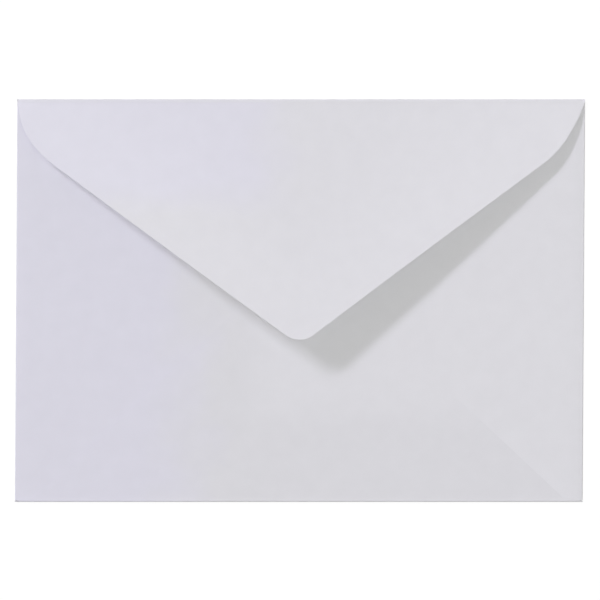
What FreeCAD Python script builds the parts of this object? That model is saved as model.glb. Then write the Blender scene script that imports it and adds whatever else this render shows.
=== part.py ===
import FreeCAD, Part

import math
import os

import Sketcher

# A paper envelope with a pointed flap, lying on its address side with the flap standing a little open.
# X runs along the long side, Y towards the flap's fold and Z up. The origin is under the middle of the back.
# It is one folded sheet: a front panel, two side flaps, a bottom flap glued over them and the closing flap.

# Driving sizes, in millimetres and degrees
SIZES = [
    ("envelope_width", 220.0),  # across the side folds
    ("envelope_height", 156.0),  # from the bottom fold to the closing flap's fold
    ("paper", 0.15),  # thickness of the sheet
    ("pocket_gap", 0.5),  # air between the front panel and the side flaps
    ("corner_relief", 0.1),  # slit between two folds that meet at a corner
    ("flap_reach", 95.2),  # closing flap, from its fold to its unrounded point
    ("flap_lift", 6.3),  # angle at which the closing flap stands open
    ("flap_clearance", 0.25),  # air between the closing flap and the side flaps, at the fold
    ("flap_tip_radius", 8.8),
    ("flap_shoulder_drop", 17.0),  # from the fold to where shoulder and long edge meet
    ("flap_shoulder_inset", 4.8),  # from the side of the envelope to that corner
    ("flap_shoulder_radius", 34.5),
    ("bottom_reach", 96.5),  # bottom flap, from its fold to its unrounded point
    ("bottom_tip_radius", 20.0),
    ("bottom_shoulder_rise", 1.6),  # from the fold to where the short shoulder ends
    ("bottom_shoulder_inset", 8.0),  # from the side of the envelope to that corner
    ("seam_overlap", 12.0),  # width of the glued seam, square to the bottom flap's edge
    ("side_tip_gap", 4.0),  # between the unrounded points of the two side flaps
    ("side_tip_radius", 12.0),
]

SHEET_NAME = "Sizes"
NODE = "envelope"

# Formulas on the sheet that several features share
HALF_WIDTH = "Sizes.envelope_width / 2"
HALF_HEIGHT = "Sizes.envelope_height / 2"
SIDE_INNER = "Sizes.pocket_gap / 2"
SIDE_OUTER = f"({SIDE_INNER} + Sizes.paper)"
SIDE_FLAP_UNDERSIDE = "Sizes.paper + Sizes.pocket_gap"
SIDE_FLAP_TOP = f"({SIDE_FLAP_UNDERSIDE} + Sizes.paper)"
BOTTOM_INNER = f"(({SIDE_FLAP_TOP} - Sizes.paper) / 2)"
BOTTOM_OUTER = f"({BOTTOM_INNER} + Sizes.paper)"
FLAP_INNER = f"(({SIDE_FLAP_TOP} + Sizes.flap_clearance - Sizes.paper) / 2)"
FLAP_OUTER = f"({FLAP_INNER} + Sizes.paper)"
LIFT = "Sizes.flap_lift * 1deg"

SIDE_FOLD_X = f"({HALF_WIDTH} - {SIDE_OUTER})"
BOTTOM_FOLD_Y = f"({BOTTOM_OUTER} - {HALF_HEIGHT})"
FLAP_FOLD_Y = f"({HALF_HEIGHT} - {FLAP_OUTER})"
FOLD_END_X = f"({SIDE_FOLD_X} - Sizes.corner_relief)"
SIDE_END_Y = f"({FLAP_FOLD_Y} - Sizes.corner_relief)"

# Sketcher's own numbers for its axes, with the origin on the X axis, and for the points of an edge
X_AXIS, Y_AXIS = range(-1, -3, -1)
ORIGIN = X_AXIS
START, END, CENTRE = range(1, 4)


def make_sheet(doc):
    sheet = doc.addObject("Spreadsheet::Sheet", SHEET_NAME)
    for row, (alias, size) in enumerate(SIZES, start=1):
        sheet.set(f"A{row}", alias.replace("_", " "))
        sheet.set(f"B{row}", str(size))
        sheet.setAlias(f"B{row}", alias)
    doc.recompute()
    return sheet


def number(sheet, formula):
    return float(sheet.evalExpression(formula))


def origin_plane(body, role):
    return next(feature for feature in body.Origin.OriginFeatures if feature.Role == role)


def make_sketch(body, name, role):
    sketch = body.newObject("Sketcher::SketchObject", name)
    sketch.AttachmentSupport = [(origin_plane(body, role), "")]
    sketch.MapMode = "FlatFace"
    return sketch


def hold(sketch, constraint, formula):
    # Adds a dimension and drives it from the sheet.
    place = sketch.addConstraint(constraint)
    sketch.setExpression(f"Constraints[{place}]", formula)


def hold_point(sketch, sheet, geometry, end, x, y):
    # Keeps a point at x, y, which are formulas, or None for a point on the axis.
    if x is None:
        sketch.addConstraint(Sketcher.Constraint("PointOnObject", geometry, end, Y_AXIS))
    else:
        distance = Sketcher.Constraint("DistanceX", ORIGIN, START, geometry, end, number(sheet, x))
        hold(sketch, distance, x)
    if y is None:
        sketch.addConstraint(Sketcher.Constraint("PointOnObject", geometry, end, X_AXIS))
    else:
        distance = Sketcher.Constraint("DistanceY", ORIGIN, START, geometry, end, number(sheet, y))
        hold(sketch, distance, y)


def rounding(before, corner, after, radius):
    # Where an arc of this radius leaves one straight edge and joins the next, and its centre.
    back = (before - corner).normalize()
    onward = (after - corner).normalize()
    half_angle = back.getAngle(onward) / 2
    run = radius / math.tan(half_angle)
    middle = (back + onward).normalize()
    return corner + back * run, corner + onward * run, corner + middle * (radius / math.sin(half_angle))


def draw_outline(sketch, sheet, corners):
    # A closed outline of straight edges. Each corner is x, y and a radius or None, all as formulas, and
    # they run counterclockwise. A rounded corner keeps its sharp point as construction, and both edges
    # pass through it.
    spots = []
    for x, y, radius in corners:
        across = number(sheet, x) if x else 0.0
        along = number(sheet, y) if y else 0.0
        spots.append(FreeCAD.Vector(across, along, 0))
    count = len(corners)
    leaving = []
    arriving = []
    centres = []
    for index, (x, y, radius) in enumerate(corners):
        if radius is None:
            arriving.append(spots[index])
            leaving.append(spots[index])
            centres.append(None)
        else:
            size = number(sheet, radius)
            first, last, centre = rounding(spots[index - 1], spots[index], spots[(index + 1) % count], size)
            arriving.append(first)
            leaving.append(last)
            centres.append(centre)
    edges = []
    for index in range(count):
        edge = Part.LineSegment(leaving[index], arriving[(index + 1) % count])
        edges.append(sketch.addGeometry(edge, False))
    for index, (x, y, radius) in enumerate(corners):
        edge_in = edges[index - 1]
        edge_out = edges[index]
        if radius is None:
            sketch.addConstraint(Sketcher.Constraint("Coincident", edge_in, END, edge_out, START))
            hold_point(sketch, sheet, edge_out, START, x, y)
            continue
        sharp = sketch.addGeometry(Part.Point(spots[index]), True)
        hold_point(sketch, sheet, sharp, START, x, y)
        sketch.addConstraint(Sketcher.Constraint("PointOnObject", sharp, START, edge_in))
        sketch.addConstraint(Sketcher.Constraint("PointOnObject", sharp, START, edge_out))
        centre = centres[index]
        start_ray = arriving[index] - centre
        end_ray = leaving[index] - centre
        circle = Part.Circle(centre, FreeCAD.Vector(0, 0, 1), start_ray.Length)
        start_angle = math.atan2(start_ray.y, start_ray.x)
        end_angle = math.atan2(end_ray.y, end_ray.x)
        arc = sketch.addGeometry(Part.ArcOfCircle(circle, start_angle, end_angle), False)
        sketch.addConstraint(Sketcher.Constraint("Tangent", edge_in, END, arc, START))
        sketch.addConstraint(Sketcher.Constraint("Tangent", arc, END, edge_out, START))
        hold(sketch, Sketcher.Constraint("Radius", arc, number(sheet, radius)), radius)


def draw_fold(sketch, sheet, centre_x, inner, side, lift):
    # The section of a fold, which leaves the front panel, turns up and comes back over it.
    # side is 1 for a fold to the right of its centre and -1 for one to the left.
    # It turns half a circle less the lift.
    outer = f"({inner} + Sizes.paper)"
    centre = FreeCAD.Vector(number(sheet, centre_x), number(sheet, outer), 0)
    lift_angle = math.radians(number(sheet, lift)) if lift else 0.0
    up = FreeCAD.Vector(math.sin(lift_angle), math.cos(lift_angle), 0)
    down = FreeCAD.Vector(0, -1, 0)
    arcs = []
    for formula in (inner, outer):
        radius = number(sheet, formula)
        circle = Part.Circle(centre, FreeCAD.Vector(0, 0, 1), radius)
        up_angle = math.atan2(up.y, up.x)
        down_angle = math.atan2(down.y, down.x)
        angles = (down_angle, up_angle) if side > 0 else (up_angle, down_angle)
        arc = sketch.addGeometry(Part.ArcOfCircle(circle, *angles), False)
        arcs.append(arc)
        hold(sketch, Sketcher.Constraint("Radius", arc, radius), formula)
    inner_arc, outer_arc = arcs
    low_end, high_end = (START, END) if side > 0 else (END, START)
    hold_point(sketch, sheet, outer_arc, CENTRE, centre_x, outer)
    sketch.addConstraint(Sketcher.Constraint("Coincident", inner_arc, CENTRE, outer_arc, CENTRE))
    for end, ray in ((low_end, down), (high_end, up)):
        near = centre + ray * number(sheet, inner)
        far = centre + ray * number(sheet, outer)
        cap = sketch.addGeometry(Part.LineSegment(near, far), False)
        sketch.addConstraint(Sketcher.Constraint("Coincident", cap, START, inner_arc, end))
        sketch.addConstraint(Sketcher.Constraint("Coincident", cap, END, outer_arc, end))
        if end == high_end and lift:
            sketch.addConstraint(Sketcher.Constraint("PointOnObject", outer_arc, CENTRE, cap))
            hold(sketch, Sketcher.Constraint("Angle", cap, math.pi / 2 - lift_angle), f"90 - {lift}")
        else:
            sketch.addConstraint(Sketcher.Constraint("Vertical", cap))
            sketch.addConstraint(Sketcher.Constraint("Vertical", outer_arc, CENTRE, outer_arc, end))


def pad_sheet(body, name, sketch):
    # Gives a flat outline the thickness of the paper, upwards.
    pad = body.newObject("PartDesign::Pad", name)
    pad.Profile = sketch
    pad.setExpression("Length", "Sizes.paper")
    return pad


def pad_fold(body, name, sketch, length):
    # Runs the section of a fold along it, as far to one side of the middle as to the other.
    pad = body.newObject("PartDesign::Pad", name)
    pad.Profile = sketch
    pad.SideType = "Symmetric"
    pad.setExpression("Length", length)
    return pad


def front_panel(body, sheet):
    sketch = make_sketch(body, "front_outline", "XY_Plane")
    corners = [
        (f"-{SIDE_FOLD_X}", BOTTOM_FOLD_Y, None),
        (SIDE_FOLD_X, BOTTOM_FOLD_Y, None),
        (SIDE_FOLD_X, FLAP_FOLD_Y, None),
        (f"-{SIDE_FOLD_X}", FLAP_FOLD_Y, None),
    ]
    draw_outline(sketch, sheet, corners)
    return pad_sheet(body, "front_panel", sketch)


def side_flaps(body, sheet):
    # The right flap is drawn with its fold, and both are mirrored to the left.
    section = make_sketch(body, "side_fold_section", "XZ_Plane")
    draw_fold(section, sheet, SIDE_FOLD_X, SIDE_INNER, 1, None)
    fold = pad_fold(body, "side_fold", section, f"{SIDE_END_Y} * 2")

    # The lower edge runs under the bottom flap's edge, further in by the seam's width.
    shoulder_x = f"({HALF_WIDTH} - Sizes.bottom_shoulder_inset)"
    edge_rise = f"((Sizes.bottom_reach - Sizes.bottom_shoulder_rise) / {shoulder_x})"
    seam_drop = f"(Sizes.seam_overlap * sqrt(1 + {edge_rise} ^ 2))"
    tip_x = "(Sizes.side_tip_gap / 2)"
    tip_y = f"({BOTTOM_FOLD_Y} + Sizes.bottom_reach - {tip_x} * {edge_rise} - {seam_drop})"
    toe_x = f"({tip_x} + ({tip_y} + {SIDE_END_Y}) / {edge_rise})"
    outline = make_sketch(body, "side_flap_outline", "XY_Plane")
    outline.setExpression("AttachmentOffset.Base.z", SIDE_FLAP_UNDERSIDE)
    corners = [
        (SIDE_FOLD_X, SIDE_END_Y, None),
        (tip_x, tip_y, "Sizes.side_tip_radius"),
        (toe_x, f"-{SIDE_END_Y}", None),
        (SIDE_FOLD_X, f"-{SIDE_END_Y}", None),
    ]
    draw_outline(outline, sheet, corners)
    flap = pad_sheet(body, "side_flap", outline)

    mirrored = body.newObject("PartDesign::Mirrored", "both_side_flaps")
    mirrored.Originals = [fold, flap]
    mirrored.MirrorPlane = (origin_plane(body, "YZ_Plane"), [""])
    body.Tip = mirrored


def bottom_flap(body, sheet):
    section = make_sketch(body, "bottom_fold_section", "YZ_Plane")
    draw_fold(section, sheet, BOTTOM_FOLD_Y, BOTTOM_INNER, -1, None)
    pad_fold(body, "bottom_fold", section, f"{FOLD_END_X} * 2")

    shoulder_x = f"({HALF_WIDTH} - Sizes.bottom_shoulder_inset)"
    shoulder_y = f"({BOTTOM_FOLD_Y} + Sizes.bottom_shoulder_rise)"
    outline = make_sketch(body, "bottom_flap_outline", "XY_Plane")
    outline.setExpression("AttachmentOffset.Base.z", SIDE_FLAP_TOP)
    corners = [
        (f"-{FOLD_END_X}", BOTTOM_FOLD_Y, None),
        (FOLD_END_X, BOTTOM_FOLD_Y, None),
        (shoulder_x, shoulder_y, None),
        (None, f"({BOTTOM_FOLD_Y} + Sizes.bottom_reach)", "Sizes.bottom_tip_radius"),
        (f"-{shoulder_x}", shoulder_y, None),
    ]
    draw_outline(outline, sheet, corners)
    pad_sheet(body, "bottom_flap", outline)


def closing_flap(body, sheet):
    section = make_sketch(body, "closing_fold_section", "YZ_Plane")
    draw_fold(section, sheet, FLAP_FOLD_Y, FLAP_INNER, 1, "Sizes.flap_lift")
    pad_fold(body, "closing_fold", section, f"{FOLD_END_X} * 2")

    # The flap's plane starts where the inside of its fold ends, and rises towards the point.
    shoulder_x = f"({HALF_WIDTH} - Sizes.flap_shoulder_inset)"
    outline = make_sketch(body, "closing_flap_outline", "XY_Plane")
    outline.AttachmentOffset = FreeCAD.Placement(
        FreeCAD.Vector(0, 0, 0), FreeCAD.Rotation(FreeCAD.Vector(1, 0, 0), -number(sheet, "Sizes.flap_lift"))
    )
    outline.setExpression("AttachmentOffset.Base.y", f"{FLAP_FOLD_Y} + {FLAP_INNER} * sin({LIFT})")
    outline.setExpression("AttachmentOffset.Base.z", f"{FLAP_OUTER} + {FLAP_INNER} * cos({LIFT})")
    outline.setExpression("AttachmentOffset.Rotation.Angle", "-Sizes.flap_lift")
    corners = [
        (FOLD_END_X, None, None),
        (f"-{FOLD_END_X}", None, None),
        (f"-{shoulder_x}", "-Sizes.flap_shoulder_drop", "Sizes.flap_shoulder_radius"),
        (None, "-Sizes.flap_reach", "Sizes.flap_tip_radius"),
        (shoulder_x, "-Sizes.flap_shoulder_drop", "Sizes.flap_shoulder_radius"),
    ]
    draw_outline(outline, sheet, corners)
    pad_sheet(body, "closing_flap", outline)


def check(doc, body):
    for item in doc.Objects:
        if "Invalid" in item.State or "Error" in item.State:
            raise RuntimeError(f"{item.Name} did not recompute: {item.State}")
    shape = body.Shape
    if shape.isNull() or not shape.isValid():
        raise RuntimeError(f"{body.Label} has no valid shape")
    if len(shape.Solids) != 1:
        raise RuntimeError(f"{body.Label} is in {len(shape.Solids)} pieces")
    for sketch in body.Group:
        if sketch.TypeId == "Sketcher::SketchObject" and sketch.solve() != 0:
            raise RuntimeError(f"{sketch.Name} does not solve")


def main():
    doc = FreeCAD.newDocument("paper_envelope")
    sheet = make_sheet(doc)
    body = doc.addObject("PartDesign::Body", NODE)
    body.Label = NODE
    front_panel(body, sheet)
    side_flaps(body, sheet)
    bottom_flap(body, sheet)
    closing_flap(body, sheet)
    doc.recompute()
    check(doc, body)

    os.makedirs("parts", exist_ok=True)
    body.Shape.exportStep(f"parts/{body.Label}.step")
    box = body.Shape.BoundBox
    print(f"{body.Label}: {box.XLength:.3f} x {box.YLength:.3f} x {box.ZLength:.3f} mm")
    print(f"{body.Label}: {body.Shape.Volume:.1f} cubic mm of paper")


main()
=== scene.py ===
import math

import bmesh
import bpy
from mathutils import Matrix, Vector


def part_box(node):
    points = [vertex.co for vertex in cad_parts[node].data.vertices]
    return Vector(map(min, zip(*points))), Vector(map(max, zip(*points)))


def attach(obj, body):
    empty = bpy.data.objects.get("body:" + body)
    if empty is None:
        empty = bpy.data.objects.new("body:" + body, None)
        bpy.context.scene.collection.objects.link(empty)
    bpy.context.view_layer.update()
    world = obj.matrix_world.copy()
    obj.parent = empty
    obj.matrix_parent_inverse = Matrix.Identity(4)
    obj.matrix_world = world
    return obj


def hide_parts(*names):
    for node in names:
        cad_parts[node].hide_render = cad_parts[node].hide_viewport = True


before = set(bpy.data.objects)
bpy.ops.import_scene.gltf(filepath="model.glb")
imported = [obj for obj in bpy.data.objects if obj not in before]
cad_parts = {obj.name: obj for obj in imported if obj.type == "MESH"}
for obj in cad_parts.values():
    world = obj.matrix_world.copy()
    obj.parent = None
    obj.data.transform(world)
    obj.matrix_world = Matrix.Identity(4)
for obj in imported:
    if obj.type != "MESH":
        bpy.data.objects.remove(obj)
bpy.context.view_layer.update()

mm = 0.001

# White envelope folded from one sheet. It lies on its address side, flap side up, seen from straight above.
# Its width and height come from the frame, in metres, and everything else from the dictionaries below.


class Wire:
    # a node's output that arithmetic works on: each operator adds its Math node

    def __init__(self, desk, socket):
        self.desk = desk
        self.socket = socket

    def math(self, operation, *others, swap=False):
        terms = [self, *others]
        if swap:
            terms.reverse()
        return self.desk.add("ShaderNodeMath", {"operation": operation}, dict(enumerate(terms)))

    def __add__(self, other):
        return self.math("ADD", other)

    __radd__ = __add__

    def __mul__(self, other):
        return self.math("MULTIPLY", other)

    __rmul__ = __mul__

    def __sub__(self, other):
        return self.math("SUBTRACT", other)

    def __rsub__(self, other):
        return self.math("SUBTRACT", other, swap=True)

    def __truediv__(self, other):
        return self.math("DIVIDE", other)

    def __neg__(self):
        return self * -1

    def __abs__(self):
        return self.math("ABSOLUTE")

    def least(self, other):
        return self.math("MINIMUM", other)

    def most(self, other):
        return self.math("MAXIMUM", other)

    def ramp(self, low, high):
        # 0 below low, 1 above high, eased between them
        span = {"From Min": low, "From Max": high, "To Min": 0.0, "To Max": 1.0}
        settings = {"interpolation_type": "SMOOTHSTEP", "clamp": True}
        return self.desk.add("ShaderNodeMapRange", settings, {"Value": self, **span})


class NodeDesk:
    # puts nodes into one tree, of a material or of geometry

    def __init__(self, tree):
        self.tree = tree

    def add(self, kind, settings=None, values=None, out=0):
        node = self.tree.nodes.new(kind)
        for name, value in (settings or {}).items():
            setattr(node, name, value)
        for name, value in (values or {}).items():
            if isinstance(value, Wire):
                self.tree.links.new(value.socket, node.inputs[name])
            else:
                node.inputs[name].default_value = value
        return Wire(self, node.outputs[out]) if node.outputs else node


# Camera

cameraSetup = {
    "lens": 200.0,             # long, so that the flap's height hardly shifts its point
    "sensor": 36.0,
    "frameWidth": 232.6 * mm,  # what the picture's width takes in at the paper
    "aim": (0.0, 0.23 * mm),   # where the picture's middle looks
    "clip": (0.01, 20.0),
}


def addCamera():
    data = bpy.data.cameras.new("camera")
    data.lens = cameraSetup["lens"]
    data.sensor_width = cameraSetup["sensor"]
    camera = bpy.data.objects.new("camera", data)
    distance = cameraSetup["frameWidth"] * data.lens / data.sensor_width
    camera.location = (*cameraSetup["aim"], distance)
    data.clip_start, data.clip_end = cameraSetup["clip"]
    bpy.context.scene.collection.objects.link(camera)
    bpy.context.scene.camera = camera


addCamera()
print("camera is set")


# The sheet, flat

sheetCut = {
    "paper": 0.15 * mm,
    "pocketGap": 0.5 * mm,
    "cornerSlit": 0.1 * mm,
    "flapReach": 95.2 * mm,
    "flapLift": 6.3,             # degrees
    "flapClearance": 0.25 * mm,
    "flapTipRadius": 8.8 * mm,
    "shoulderDrop": 17.0 * mm,
    "shoulderInset": 4.7 * mm,
    "shoulderRadius": 39.0 * mm,
    "bottomReach": 96.5 * mm,
    "bottomTipRadius": 20.0 * mm,
    "bottomShoulderRise": 1.6 * mm,
    "bottomShoulderInset": 8.0 * mm,
    "seamOverlap": 12.0 * mm,
    "sideTipGap": 4.0 * mm,
    "sideTipRadius": 12.0 * mm,
    "step": 2.6 * mm,            # spacing of the mesh's rows
    "columns": 84,
    "arcSteps": 14,              # rows round a fold or a rounded corner
    "flareRows": 4,              # of a flap's fold, within which it widens to the envelope's full width
    # extra rows beside a fold, in mm, and how near an outline's own point may lie to one
    "foldRows": (0.3, 0.6, 0.9, 1.2, 1.5, 1.8, 2.1, 2.6, 3.2, 4.0),
    "rowGap": 0.05 * mm,
}

low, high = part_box("envelope")
halfWidth = (high.x - low.x) / 2
halfHeight = (high.y - low.y) / 2
paper = sheetCut["paper"]
sideOuter = sheetCut["pocketGap"] / 2 + paper
bottomOuter = (sheetCut["pocketGap"] + paper) / 2 + paper
flapOuter = (sheetCut["pocketGap"] + paper + sheetCut["flapClearance"]) / 2 + paper
flapTurn = math.pi - math.radians(sheetCut["flapLift"])
sideFold = halfWidth - sideOuter
bottomFold = halfHeight - bottomOuter
flapFold = halfHeight - flapOuter
foldEnd = sideFold - sheetCut["cornerSlit"]
sideEnd = flapFold - sheetCut["cornerSlit"]


def arcLength(outer, turn):
    return (outer - paper / 2) * turn


def roundOff(before, corner, after, radius):
    # the points of the arc that rounds this corner
    back = (before - corner).normalized()
    onward = (after - corner).normalized()
    half = back.angle(onward) / 2
    first = corner + back * (radius / math.tan(half))
    last = corner + onward * (radius / math.tan(half))
    centre = corner + (back + onward).normalized() * (radius / math.sin(half))
    start = (first - centre).normalized()
    end = (last - centre).normalized()
    steps = sheetCut["arcSteps"]
    return [centre + start.slerp(end, index / steps) * radius for index in range(steps + 1)]


def fillIn(points):
    # adds points along the straight stretches
    filled = [points[0]]
    for before, after in zip(points, points[1:]):
        pieces = max(1, round((after - before).length / sheetCut["step"]))
        for index in range(1, pieces + 1):
            filled.append(before.lerp(after, index / pieces))
    return filled


def foldShares():
    # where the columns cross a flap, from -1 at its left side to 1 at its right, closer near both
    even = [index / sheetCut["columns"] * 2 - 1 for index in range(sheetCut["columns"] + 1)]
    shares = [row * mm / foldEnd for row in sheetCut["foldRows"]]
    close = [1 - share for share in shares if share < 2 / sheetCut["columns"]]
    return sorted([*even, *close, *[-share for share in close]])


def closeRows(points):
    # adds points where an outline passes the rows beside its fold
    gap = sheetCut["rowGap"]
    for row in sheetCut["foldRows"]:
        height = row * mm
        for index, (before, after) in enumerate(zip(points, points[1:])):
            if before.y + gap < height < after.y - gap:
                points.insert(index + 1, before.lerp(after, (height - before.y) / (after.y - before.y)))
                break
    return points


def flapOutline(shoulder, reach, tipRadius, shoulderRadius):
    # right half of a pointed flap, as (half width, distance from its fold), from the fold to the point
    start = Vector((halfWidth, 0.0))
    tip = Vector((0.0, reach))
    mirrored = Vector((-shoulder.x, shoulder.y))
    points = [start]
    if shoulderRadius:
        points += roundOff(start, shoulder, tip, shoulderRadius)
    else:
        points.append(shoulder)
    tipArc = roundOff(shoulder, tip, mirrored, tipRadius)
    points += tipArc[: sheetCut["arcSteps"] // 2 + 1]
    points[-1].x = 0.0
    return closeRows(fillIn(points))


closingShoulder = Vector((halfWidth - sheetCut["shoulderInset"], sheetCut["shoulderDrop"]))
bottomShoulder = Vector((halfWidth - sheetCut["bottomShoulderInset"], sheetCut["bottomShoulderRise"]))
closingEdge = flapOutline(
    closingShoulder, sheetCut["flapReach"], sheetCut["flapTipRadius"], sheetCut["shoulderRadius"]
)
bottomEdge = flapOutline(bottomShoulder, sheetCut["bottomReach"], sheetCut["bottomTipRadius"], None)

# the side flap's lower edge runs under the bottom flap's, further in by the seam
edgeRise = (sheetCut["bottomReach"] - bottomShoulder.y) / bottomShoulder.x
seamDrop = sheetCut["seamOverlap"] * math.hypot(1, edgeRise)
sideTipX = sheetCut["sideTipGap"] / 2
sideTipY = -bottomFold + sheetCut["bottomReach"] - sideTipX * edgeRise - seamDrop
toeX = sideTipX + (sideTipY + sideEnd) / edgeRise


def sideOutline():
    # the side flap's free edge from its lower end to its upper end, as (distance from its fold, height)
    toe = Vector((sideFold - toeX, -sideEnd))
    tip = Vector((sideFold - sideTipX, sideTipY))
    top = Vector((0.0, sideEnd))
    return fillIn([toe, *roundOff(toe, tip, top, sheetCut["sideTipRadius"]), top])


sideEdge = sideOutline()


class FlatSheet:
    # the cut sheet before folding: patches that share the points along their borders

    def __init__(self):
        self.places = []
        self.known = {}
        self.faces = []

    def point(self, x, y):
        # places that agree in mm to four decimals are one point
        key = (round(x / mm, 4), round(y / mm, 4))
        if key not in self.known:
            self.known[key] = len(self.places)
            self.places.append((x, y))
        return self.known[key]

    def patch(self, rows):
        # rows of points, each row to the right of the one before and its points running upwards
        for near, far in zip(rows, rows[1:]):
            for index in range(len(near) - 1):
                corners = (near[index], far[index], far[index + 1], near[index + 1])
                ring = []
                for point in (self.point(*corner) for corner in corners):
                    if point not in ring:
                        ring.append(point)
                if len(ring) > 2:
                    self.faces.append(ring)

    def rim(self):
        # the edges that only one face has, in that face's direction
        count = {}
        for ring in self.faces:
            for start, end in zip(ring, ring[1:] + ring[:1]):
                count[start, end] = count.get((start, end), 0) + 1
        return [edge for edge in count if (edge[1], edge[0]) not in count]


def pointedFlap(sheet, fold, outer, turn, edge, direction):
    # fold strip and flap above (direction 1) or below (-1) the front panel
    shares = foldShares()
    strip = arcLength(outer, turn)
    reaches = []
    for index in range(sheetCut["arcSteps"] + 1):
        flare = min(1.0, index / sheetCut["flareRows"])
        reaches.append((foldEnd + (halfWidth - foldEnd) * flare, strip * index / sheetCut["arcSteps"]))
    reaches += [(spot.x, strip + spot.y) for spot in edge[1:]]
    lines = []
    for width, distance in reaches:
        lines.append([(width * share, direction * (fold + distance)) for share in shares])
    if direction > 0:
        columns = [list(column) for column in zip(*lines)]
    else:
        columns = [list(column)[::-1] for column in zip(*lines)]
    sheet.patch(columns)


def sideFlap(sheet, direction):
    strip = arcLength(sideOuter, math.pi)
    columns = []
    for index in range(sheetCut["arcSteps"] + 1):
        across = sideFold + strip * index / sheetCut["arcSteps"]
        columns.append([(direction * across, spot.y) for spot in sideEdge])
    width = sideFold - sideTipX
    across = round(width / sheetCut["step"])
    close = [row * mm / width for row in sheetCut["foldRows"] if row * mm < width / across]
    for share in [*close, *[index / across for index in range(1, across + 1)]]:
        columns.append([(direction * (sideFold + strip + spot.x * share), spot.y) for spot in sideEdge])
    sheet.patch(columns if direction > 0 else columns[::-1])


def layFlatSheet():
    sheet = FlatSheet()
    inner = [foldEnd * share for share in foldShares()]
    acrosses = [-sideFold, *inner, sideFold]
    heights = [-bottomFold, *[spot.y for spot in sideEdge], flapFold]
    sheet.patch([[(across, height) for height in heights] for across in acrosses])
    sideFlap(sheet, 1)
    sideFlap(sheet, -1)
    pointedFlap(sheet, flapFold, flapOuter, flapTurn, closingEdge, 1)
    pointedFlap(sheet, bottomFold, bottomOuter, math.pi, bottomEdge, -1)
    return sheet


def thickenSheet(sheet):
    # two skins and the cut rim between them, with the flat place kept as the UV map "cut"
    mesh = bpy.data.meshes.new("envelopeSheet")
    work = bmesh.new()
    outside = [work.verts.new((x, y, 0.0)) for x, y in sheet.places]
    inside = [work.verts.new((x, y, paper)) for x, y in sheet.places]
    cut = work.loops.layers.uv.new("cut")
    skin = work.faces.layers.float.new("inside")
    for ring in sheet.faces:
        upper = work.faces.new([inside[index] for index in ring])
        upper[skin] = 1.0
        work.faces.new([outside[index] for index in reversed(ring)])
    rim = sheet.rim()
    for start, end in rim:
        work.faces.new([outside[start], outside[end], inside[end], inside[start]])
    for face in work.faces:
        face.smooth = True
        for loop in face.loops:
            loop[cut].uv = loop.vert.co.xy
    for start, end in rim:
        for skinVerts in (outside, inside):
            work.edges.get((skinVerts[start], skinVerts[end])).smooth = False
    work.to_mesh(mesh)
    work.free()
    return mesh


print("sheet is cut")


# Folding

foldFeel = {
    "puff": 0.25 * mm,        # how far the middle of the pocket stands up
    "ripple": 0.10 * mm,      # slow unevenness of the paper
    "rippleSize": 60.0 * mm,
    "roll": 0.16 * mm,        # how far the paper dips towards the side folds
    "rollWidth": 4.4 * mm,
    "bead": 0.11 * mm,        # how far it rises along the other two folds, where it springs back
    "beadWidth": 1.9 * mm,
    "beadCrest": 0.25,        # share of that width over which the bead keeps its height
    "upper": (1.5, 4.0),      # how many thicknesses up all of the above sets in and is full
    "outOfSquare": 0.0062,    # how far the sheet leans to the right, for each metre up
    "flapAskew": 1.25 * mm,   # how far the closing flap lies to the left beside its shoulders
    "askewRise": 0.16,        # share of the flap over which that sets in
    "flapBow": 0.65 * mm,     # how far its middle stands above the straight line from fold to point
}

# the inputs of the folding tree
foldSizes = {
    "Paper": paper,
    "Side Fold": sideFold,
    "Side Radius": sideOuter,
    "Bottom Fold": bottomFold,
    "Bottom Radius": bottomOuter,
    "Flap Fold": flapFold,
    "Flap Radius": flapOuter,
    "Flap Turn": flapTurn,
    "Flap Reach": arcLength(flapOuter, flapTurn) + closingEdge[-1].y,
    "Half Width": halfWidth,
    "Half Height": halfHeight,
    "Puff": foldFeel["puff"],
    "Ripple": foldFeel["ripple"],
    "Ripple Size": foldFeel["rippleSize"],
    "Roll": foldFeel["roll"],
    "Roll Width": foldFeel["rollWidth"],
    "Bead": foldFeel["bead"],
    "Bead Width": foldFeel["beadWidth"],
    "Out Of Square": foldFeel["outOfSquare"],
    "Askew": foldFeel["flapAskew"],
    "Bow": foldFeel["flapBow"],
}


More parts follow.
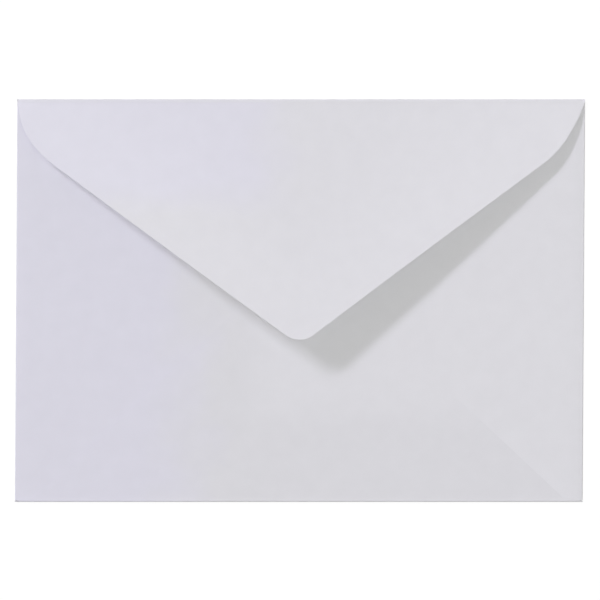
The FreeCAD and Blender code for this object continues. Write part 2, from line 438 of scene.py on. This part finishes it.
def foldTree():
    tree = bpy.data.node_groups.new("foldSheet", "GeometryNodeTree")
    face = tree.interface
    face.new_socket(name="Geometry", in_out="INPUT", socket_type="NodeSocketGeometry")
    for name in foldSizes:
        face.new_socket(name=name, in_out="INPUT", socket_type="NodeSocketFloat")
    face.new_socket(name="Material", in_out="INPUT", socket_type="NodeSocketMaterial")
    face.new_socket(name="Geometry", in_out="OUTPUT", socket_type="NodeSocketGeometry")

    desk = NodeDesk(tree)
    start = tree.nodes.new("NodeGroupInput")
    size = {socket.name: Wire(desk, socket) for socket in start.outputs if socket.name}
    position = desk.add("GeometryNodeInputPosition")
    flat = {axis: desk.add("ShaderNodeSeparateXYZ", {}, {0: position}, out=axis) for axis in "XYZ"}
    depth = flat["Z"]

    def foldOver(past, radius, turn):
        # past is how far beyond the fold line the point lies when flat
        # gives the point's place across the line, and up
        length = radius - size["Paper"] * 0.5
        angle = (past / length).most(0.0).least(turn)
        beyond = (past - length * turn).most(0.0)
        arm = radius - depth
        across = past.least(0.0) + arm * angle.math("SINE") + beyond * turn.math("COSINE")
        up = radius - arm * angle.math("COSINE") + beyond * turn.math("SINE")
        return across, up

    # the side and bottom flaps are folded all the way over
    halfTurn = desk.add("ShaderNodeValue")
    halfTurn.socket.default_value = math.pi
    side = flat["X"].math("SIGN")
    sideAcross, sideUp = foldOver(abs(flat["X"]) - size["Side Fold"], size["Side Radius"], halfTurn)
    flapAcross, flapUp = foldOver(flat["Y"] - size["Flap Fold"], size["Flap Radius"], size["Flap Turn"])
    lowAcross, lowUp = foldOver(-flat["Y"] - size["Bottom Fold"], size["Bottom Radius"], halfTurn)

    # a point lies beyond one fold at most, and the two that it doesn't reach leave it where it is
    x = side * (size["Side Fold"] + sideAcross)
    above = (flat["Y"] - size["Flap Fold"]).math("GREATER_THAN", 0.0)
    below = (-flat["Y"] - size["Bottom Fold"]).math("GREATER_THAN", 0.0)
    y = (
        above * (size["Flap Fold"] + flapAcross)
        - below * (size["Bottom Fold"] + lowAcross)
        + (1 - above) * (1 - below) * flat["Y"]
    )
    z = sideUp + flapUp + lowUp - depth * 2

    # the pocket's middle stands up a little, and the paper isn't quite even
    xShare = x / size["Half Width"]
    yShare = y / size["Half Height"]
    fade = ((1 - xShare * xShare) * (1 - yShare * yShare)).most(0.0)
    place = desk.add("ShaderNodeCombineXYZ", {}, {"X": x / size["Ripple Size"], "Y": y / size["Ripple Size"]})
    noise = desk.add("ShaderNodeTexNoise", {}, {"Vector": place, "Scale": 1.0, "Detail": 1.0})
    upper = z.ramp(*[share * paper for share in foldFeel["upper"]])
    swell = fade * (size["Puff"] + size["Ripple"] * (noise - 0.5) * 2)

    # it dips towards the side folds and rises in a bead along the other two
    toSide = (size["Half Width"] - abs(x)) / size["Roll Width"]
    toEnd = (size["Half Height"] - abs(y)) / size["Bead Width"]
    dip = size["Roll"] * (1 - toSide.ramp(0.0, 1.0))
    bead = size["Bead"] * (1 - toEnd.ramp(foldFeel["beadCrest"], 1.0))
    z = z + upper * (swell - dip + bead * toSide.ramp(0.0, 1.0))

    # the sheet is folded a little out of square, and its closing flap lies a little askew and bowed
    reach = (flat["Y"] - size["Flap Fold"]).most(0.0) / size["Flap Reach"]
    askew = reach.ramp(0.0, foldFeel["askewRise"]) * (1 - reach * reach * reach).most(0.0)
    bow = reach * (1 - reach).most(0.0) * 4      # 1 at its crest
    z = z + bow * size["Bow"]
    x = x + y * size["Out Of Square"] - askew * size["Askew"]

    folded = desk.add("ShaderNodeCombineXYZ", {}, {"X": x, "Y": y, "Z": z})
    moved = desk.add("GeometryNodeSetPosition", {}, {"Geometry": size["Geometry"], "Position": folded})
    real = desk.add("GeometryNodeRealizeInstances", {}, {"Geometry": moved})
    done = desk.add("GeometryNodeSetMaterial", {}, {"Geometry": real, "Material": size["Material"]})
    desk.add("NodeGroupOutput", {}, {"Geometry": done})
    return tree


def foldSheet(mesh, material):
    piece = bpy.data.objects.new("envelopeSheet", mesh)
    bpy.context.scene.collection.objects.link(piece)
    fold = piece.modifiers.new("fold", "NODES")
    fold.node_group = foldTree()
    values = {**foldSizes, "Material": material}
    for item in fold.node_group.interface.items_tree:
        if item.in_out == "INPUT" and item.name in values:
            fold[item.identifier] = values[item.name]
    graph = bpy.context.evaluated_depsgraph_get()
    folded = bpy.data.meshes.new_from_object(piece.evaluated_get(graph))
    piece.modifiers.remove(fold)
    piece.data = folded
    folded.name = "envelopeSheet"
    return piece


# Paper

paperLook = {
    "colour": (0.815, 0.815, 0.844, 1.0),
    # the second colour is the paper under a painted cool light, standing in for a cool lamp at the left
    "coolLightColour": (0.814, 0.808, 0.893, 1.0),
    # a pair says where something begins and where it is full, or the size and the detail of a cloud
    "tintSpan": (-60 * mm, -31 * mm),      # where the painted cool light on the pocket's left end passes into the rest
    "flapTint": 0.8,                       # how cool the painted light makes the closing flap's left beside that
    "flapTintSpan": (-28 * mm, 4 * mm),    # where it passes into the rest
    "flapTintFoot": (30 * mm, 46 * mm),    # how far above the middle it sets in
    "tintDrift": 30 * mm,                  # how far the borders of both wander
    "tintDriftFoot": 0.5,                  # share of that for the foot
    "wander": ((90 * mm, 1.0), (24 * mm, 2.0)),   # the two clouds that move them
    "foldPaintedShade": 0.023,                     # painted shade: how much darker the closing flap is in the middle of its fold
    "edgePaintedLight": 0.036,                     # painted light: how much lighter it gets towards its free edges
    "edgeSpan": (0.3, 1.05),               # 1 being the free edge
    "lowPaintedShade": 0.033,                      # painted shade: how much darker the pocket is at its left and low down
    "lowLeft": (8 * mm, 26 * mm),          # to the left of the middle
    "lowBottom": (36 * mm, 54 * mm),       # below the middle
    "footPaintedShade": 0.008,                     # painted shade: how much darker all of the pocket is at its foot
    "footSpan": (0.0, 50 * mm),            # below the middle
    "foldBlend": 3 * mm,                   # how far past its fold a flap's own tone is full
    "drift": 0.012,                        # slow unevenness of the tone
    "driftCloud": (38 * mm, 1.0),
    "mottle": 0.05,                        # cloudy unevenness of the tone, from the pulp
    "mottleCloud": (7 * mm, 5.0),
    "insideTone": 0.15,                    # how much greyer the inner side is
    "gumBand": (0.80, 0.81),               # the dried gum on the flap's inner side, 1 being its free edge
    "gumTone": 0.03,
    "gumGloss": 0.35,                      # how much smoother it is
    "fibreAngles": (0.4, 1.5, 2.6),        # radians
    "fibreLength": 1.6 * mm,
    "fibreWidth": 0.12 * mm,
    "fibreDetail": 2.0,
    "fibreShade": 0.04,
    "fibreHeight": 0.006 * mm,
    "roughness": 0.82,
    "roughnessSwing": 0.1,
    "specular": 0.25,
}


def paperMaterial():
    material = bpy.data.materials.new("envelopePaper")
    material.use_nodes = True
    tree = material.node_tree
    tree.nodes.clear()
    desk = NodeDesk(tree)
    cut = desk.add("ShaderNodeUVMap", {"uv_map": "cut"}, {}, out="UV")

    def cloud(size, detail):
        return desk.add("ShaderNodeTexNoise", {}, {"Vector": cut, "Scale": 1 / size, "Detail": detail})

    def fibres(angle):
        scale = (paperLook["fibreLength"], paperLook["fibreWidth"], 1.0)
        turned = desk.add(
            "ShaderNodeMapping", {"vector_type": "TEXTURE"},
            {"Vector": cut, "Rotation": (0, 0, angle), "Scale": scale},
        )
        detail = paperLook["fibreDetail"]
        return desk.add("ShaderNodeTexNoise", {}, {"Vector": turned, "Scale": 1.0, "Detail": detail})

    first, second, third = [fibres(angle) for angle in paperLook["fibreAngles"]]
    grain = (first + second + third) / 3
    mottle = cloud(*paperLook["mottleCloud"])
    place = desk.add("ShaderNodeTexCoord", {}, {}, out="Object")
    across, height = [desk.add("ShaderNodeSeparateXYZ", {}, {0: place}, out=axis) for axis in "XY"]
    cutAcross, cutAlong = [desk.add("ShaderNodeSeparateXYZ", {}, {0: cut}, out=axis) for axis in "XY"]
    closing = cutAlong.ramp(flapFold, flapFold + paperLook["foldBlend"])

    # the address side stays plain: the painted cool light and the painted light and shade begin past the
    # folds
    pastSide = abs(cutAcross).ramp(sideFold, sideFold + arcLength(sideOuter, math.pi))
    pastBottom = (-cutAlong).ramp(bottomFold, bottomFold + arcLength(bottomOuter, math.pi))
    flapSide = closing.most(pastSide).most(pastBottom)

    slow, quick = [cloud(*kind) for kind in paperLook["wander"]]
    drift = (slow + quick - 1) * paperLook["tintDrift"]
    # painted cool light: the pocket's left end, and the closing flap's left above the middle, are tinted
    # bluer as if lit by a cool lamp at the left
    pocketCoolLight = 1 - (across + drift).ramp(*paperLook["tintSpan"])
    flapCoolLight = (1 - (across + drift).ramp(*paperLook["flapTintSpan"])) * paperLook["flapTint"]
    flapCoolLight = flapCoolLight * (height + drift * paperLook["tintDriftFoot"]).ramp(*paperLook["flapTintFoot"])
    cool = (pocketCoolLight + (flapCoolLight - pocketCoolLight) * closing) * flapSide

    nearEdge = abs(cutAcross) / halfWidth + (cutAlong - flapFold) / sheetCut["flapReach"]
    freeEdge = nearEdge.ramp(*paperLook["edgeSpan"])
    rightFlap = cutAcross.ramp(sideFold, sideFold + paperLook["foldBlend"])
    # painted shade on the pocket: darker at its left, low down and at its foot
    lowDown = (-across).ramp(*paperLook["lowLeft"]).most((-height).ramp(*paperLook["lowBottom"]))
    # painted light and shade on the closing flap: darker along the middle of its fold, lighter towards its
    # free edges, for how light falls on the raised flap
    tone = closing * (freeEdge * paperLook["edgePaintedLight"] - paperLook["foldPaintedShade"])
    tone = tone - lowDown * (1 - closing) * (1 - rightFlap) * paperLook["lowPaintedShade"]
    tone = tone - (-height).ramp(*paperLook["footSpan"]) * (1 - closing) * paperLook["footPaintedShade"]
    tone = tone * flapSide + (cloud(*paperLook["driftCloud"]) - 0.5) * paperLook["drift"]

    inside = desk.add("ShaderNodeAttribute", {"attribute_name": "inside"}, {}, out="Fac")
    gum = inside * closing * nearEdge.ramp(*paperLook["gumBand"])
    shade = 1 + (grain - 0.5) * paperLook["fibreShade"] + (mottle - 0.5) * paperLook["mottle"]
    shade = shade + tone - inside * paperLook["insideTone"] - gum * paperLook["gumTone"]
    # inputs 6 and 7 are the node's two colours, and output 2 is the mixed one
    tint = desk.add(
        "ShaderNodeMix", {"data_type": "RGBA"},
        {"Factor": cool, 6: paperLook["colour"], 7: paperLook["coolLightColour"]}, out=2,
    )
    colour = desk.add("ShaderNodeVectorMath", {"operation": "SCALE"}, {0: tint, "Scale": shade})
    roughness = (grain - 0.5) * paperLook["roughnessSwing"] + paperLook["roughness"]
    roughness = roughness - gum * paperLook["gumGloss"]
    bump = desk.add(
        "ShaderNodeBump", {}, {"Strength": 1.0, "Distance": paperLook["fibreHeight"], "Height": grain},
    )
    shader = desk.add(
        "ShaderNodeBsdfPrincipled", {},
        {
            "Base Color": colour,
            "Roughness": roughness,
            "Normal": bump,
            "Specular IOR Level": paperLook["specular"],
        },
    )
    desk.add("ShaderNodeOutputMaterial", {}, {"Surface": shader})
    return material


envelope = foldSheet(thickenSheet(layFlatSheet()), paperMaterial())
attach(envelope, "root")
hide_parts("envelope")
print("envelope is folded")


# Floor, backdrop and light

# Each light has its share of the light on a flat sheet, its number of panels, the angle over which they
# spread, the heading it shines towards, its elevation and the width of one panel. Angles are in degrees.
studio = {
    "floorSize": 6.0,
    "floorDrop": 0.02 * mm,
    "floorColour": (0.62, 0.62, 0.62, 1.0),   # for the light that it bounces
    "floorSeen": 0.18,        # the part of the floor's white in the picture that takes light and shadow
    "floorGlow": 0.87,        # and the part that glows
    "worldLevel": 0.20,
    "level": 0.845,           # brings all the suns up or down together
    # a long low window at the upper left
    "windowShare": 0.257,
    "windowPanels": 4,
    "windowSpread": 20.0,
    "windowHeading": -42.0,
    "windowElevation": 29.1,
    "windowAngle": 7.0,
    "windowColour": (0.985, 0.945, 1.085),
    # a soft light high up at the right
    "rightShare": 0.05,
    "rightPanels": 1,
    "rightSpread": 0.0,
    "rightHeading": 195.0,
    "rightElevation": 68.0,
    "rightAngle": 28.0,
    "rightColour": (1.0, 1.0, 0.965),
    # the main light, nearly straight above
    "overheadShare": 0.468,
    "overheadPanels": 1,
    "overheadSpread": 0.0,
    "overheadHeading": 90.0,
    "overheadElevation": 87.0,
    "overheadAngle": 5.0,
    "overheadColour": (1.0, 1.0, 0.965),
}


def addFloor():
    half = studio["floorSize"] / 2
    mesh = bpy.data.meshes.new("floor")
    corners = [(-half, -half, 0), (half, -half, 0), (half, half, 0), (-half, half, 0)]
    mesh.from_pydata(corners, [], [(0, 1, 2, 3)])
    floor = bpy.data.objects.new("floor", mesh)
    floor.location.z = -studio["floorDrop"]
    bpy.context.scene.collection.objects.link(floor)
    material = bpy.data.materials.new("floor")
    material.use_nodes = True
    material.node_tree.nodes.clear()
    desk = NodeDesk(material.node_tree)
    seen = seenRay(desk)
    plain = desk.add("ShaderNodeBsdfDiffuse", {}, {"Color": studio["floorColour"]})
    dim = desk.add("ShaderNodeBsdfDiffuse", {}, {"Color": (studio["floorSeen"],) * 3 + (1.0,)})
    glow = desk.add("ShaderNodeEmission", {}, {"Strength": studio["floorGlow"]})
    white = desk.add("ShaderNodeAddShader", {}, {0: dim, 1: glow})
    mixed = desk.add("ShaderNodeMixShader", {}, {0: seen, 1: plain, 2: white})
    desk.add("ShaderNodeOutputMaterial", {}, {"Surface": mixed})
    mesh.materials.append(material)


def seenRay(desk):
    # 1 for what the camera sees, straight or through gloss and glass
    rays = [desk.add("ShaderNodeLightPath", {}, {}, out=name)
            for name in ("Is Camera Ray", "Is Glossy Ray", "Is Transmission Ray")]
    return rays[0].most(rays[1]).most(rays[2])


def addWorld():
    world = bpy.data.worlds.new("studio")
    bpy.context.scene.world = world
    world.use_nodes = True
    world.node_tree.nodes.clear()
    desk = NodeDesk(world.node_tree)
    strength = seenRay(desk) * (1 - studio["worldLevel"]) + studio["worldLevel"]
    sky = desk.add("ShaderNodeBackground", {}, {"Color": (1, 1, 1, 1), "Strength": strength})
    desk.add("ShaderNodeOutputWorld", {}, {"Surface": sky})


def addSuns(name):
    # a light of the studio, as a row of equal suns that give its share together
    elevation = math.radians(studio[name + "Elevation"])
    panels = studio[name + "Panels"]
    for index in range(panels):
        data = bpy.data.lights.new(name, "SUN")
        data.energy = math.pi * studio["level"] * studio[name + "Share"] / panels / math.sin(elevation)
        data.angle = math.radians(studio[name + "Angle"])
        data.color = studio[name + "Colour"]
        sun = bpy.data.objects.new(name, data)
        turn = studio[name + "Heading"] + studio[name + "Spread"] * ((index + 0.5) / panels - 0.5)
        heading = math.radians(turn)
        level = math.cos(elevation)
        ray = Vector((math.cos(heading) * level, math.sin(heading) * level, -math.sin(elevation)))
        sun.rotation_mode = "QUATERNION"
        sun.rotation_quaternion = ray.to_track_quat("-Z", "Y")
        bpy.context.scene.collection.objects.link(sun)


addFloor()
addWorld()
for name in ("window", "right", "overhead"):
    addSuns(name)
bpy.context.scene.view_settings.view_transform = "Standard"
print("studio is lit")
